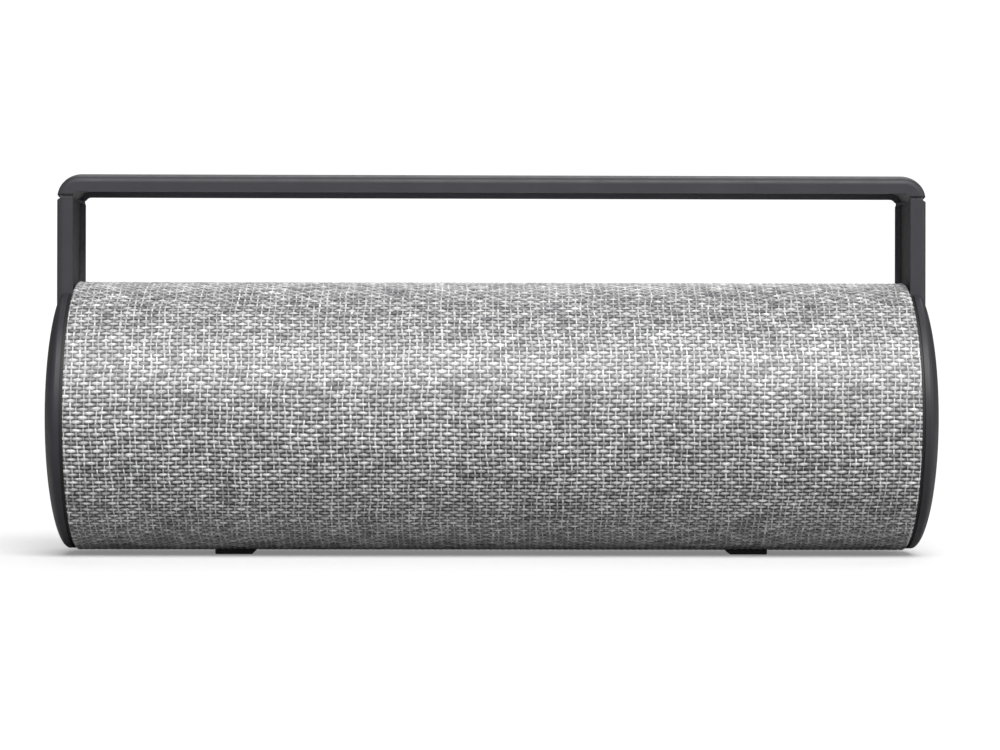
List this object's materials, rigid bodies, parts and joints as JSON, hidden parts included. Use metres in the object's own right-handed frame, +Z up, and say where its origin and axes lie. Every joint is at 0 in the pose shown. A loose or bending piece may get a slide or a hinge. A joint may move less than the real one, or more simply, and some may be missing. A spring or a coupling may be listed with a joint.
{
  "type": "smart speaker",
  "caption": "Portable cloth-wrapped cylinder speaker with domed end caps, a fixed strap handle over the top, rubber feet, end-cap buttons and a rear port flap.",
  "frame": {"origin": "on the floor plane under the middle of the cylinder", "axes": "+X along the cylinder towards the end cap with the buttons, -Y towards the listener, +Z up"},
  "size_m": [0.3928, 0.119, 0.1689],
  "materials": {
    "grille_cloth": "coarse plain weave of mottled grey yarn",
    "cap_plastic": "fine moulded texture, satin sheen",
    "strap_cover": "soft-touch, fine grain",
    "inner_strap": "matte",
    "trim_black": "matte black",
    "black_abs": "moulded black",
    "foot_rubber": "matte",
    "foam_rubber": "closed-cell foam",
    "surround_rubber": "satin",
    "flap_rubber": "soft matte",
    "button_rubber": "soft matte",
    "zinc_steel": "black-zinc plated",
    "driver_steel": "powder coated",
    "cone_paper": "pressed pulp",
    "tweeter_plastic": "satin",
    "panel_plastic": "fine moulded texture",
    "jack_plastic": "moulded",
    "port_metal": "plated",
    "cell_wrap": "shrink wrap",
    "board_green": "solder mask",
    "chip_black": "moulded epoxy",
    "light_lens": "frosted clear"
  },
  "bodies": {
    "body": {"aux_jack": "jack_plastic", "baffle_screws": "zinc_steel", "bass_port": "black_abs", "battery_cells": "cell_wrap", "battery_cradle": "black_abs", "board_components": "chip_black", "board_posts": "black_abs", "control_board": "board_green", "control_board_screws": "zinc_steel", "driver_screws": "zinc_steel", "enclosure_gasket": "foam_rubber", "enclosure_tub": "black_abs", "foot_screws": "zinc_steel", "front_baffle": "black_abs", "grille_cloth": "grille_cloth", "grille_shell": "black_abs", "handle_frame": "inner_strap", "handle_grip": "strap_cover", "left_cap_screws": "zinc_steel", "left_driver_frame": "driver_steel", "left_driver_magnet": "driver_steel", "left_driver_surround": "surround_rubber", "left_end_cap": "cap_plastic", "left_end_frame": "black_abs", "left_foot": "foot_rubber", "left_frame_screws": "zinc_steel", "left_handle_cover": "strap_cover", "left_handle_screws": "zinc_steel", "left_trim_ring": "trim_black", "left_tweeter": "tweeter_plastic", "main_board": "board_green", "panel_screws": "zinc_steel", "port_hinge_pin": "zinc_steel", "power_jack": "jack_plastic", "rear_panel": "panel_plastic", "right_cap_screws": "zinc_steel", "right_driver_frame": "driver_steel", "right_driver_magnet": "driver_steel", "right_driver_surround": "surround_rubber", "right_end_cap": "cap_plastic", "right_end_frame": "black_abs", "right_foot": "foot_rubber", "right_frame_screws": "zinc_steel", "right_handle_cover": "strap_cover", "right_handle_screws": "zinc_steel", "right_trim_ring": "trim_black", "right_tweeter": "tweeter_plastic", "status_lights": "light_lens", "tact_switches": "chip_black", "usb_port": "port_metal"},
    "port_cover": {"port_cover": "flap_rubber"},
    "play_button": {"play_button": "button_rubber"},
    "volume_up_button": {"volume_up_button": "button_rubber"},
    "volume_down_button": {"volume_down_button": "button_rubber"},
    "power_button": {"power_button": "button_rubber"},
    "pairing_button": {"pairing_button": "button_rubber"},
    "left_driver_cone": {"left_driver_cone": "cone_paper"},
    "right_driver_cone": {"right_driver_cone": "cone_paper"}
  },
  "joints": [
    {"name": "play_press", "type": "slide", "parent": "body", "child": "play_button", "axis": [-1, 0, 0], "range_m": [0, 0.0006], "stiffness_N_per_m": 300, "springref_m": -0.002},
    {"name": "volume_up_press", "type": "slide", "parent": "body", "child": "volume_up_button", "axis": [-1, 0, 0], "range_m": [0, 0.0006], "stiffness_N_per_m": 300, "springref_m": -0.002},
    {"name": "volume_down_press", "type": "slide", "parent": "body", "child": "volume_down_button", "axis": [-1, 0, 0], "range_m": [0, 0.0006], "stiffness_N_per_m": 300, "springref_m": -0.002},
    {"name": "power_press", "type": "slide", "parent": "body", "child": "power_button", "axis": [-1, 0, 0], "range_m": [0, 0.0006], "stiffness_N_per_m": 300, "springref_m": -0.002},
    {"name": "pairing_press", "type": "slide", "parent": "body", "child": "pairing_button", "axis": [-1, 0, 0], "range_m": [0, 0.0006], "stiffness_N_per_m": 300, "springref_m": -0.002},
    {"name": "left_cone_travel", "type": "slide", "parent": "body", "child": "left_driver_cone", "axis": [0, -1, 0], "range_m": [-0.003, 0.003], "stiffness_N_per_m": 1500, "deforming": ["left_driver_surround"]},
    {"name": "right_cone_travel", "type": "slide", "parent": "body", "child": "right_driver_cone", "axis": [0, -1, 0], "range_m": [-0.003, 0.003], "stiffness_N_per_m": 1500, "deforming": ["right_driver_surround"]},
    {"name": "port_cover_hinge", "type": "hinge", "parent": "body", "child": "port_cover", "pos_m": [0, 0.05766, 0.0528], "axis": [-1, 0, 0], "range_deg": [0, 95], "stiffness_Nm_per_rad": 0.01}
  ]
}
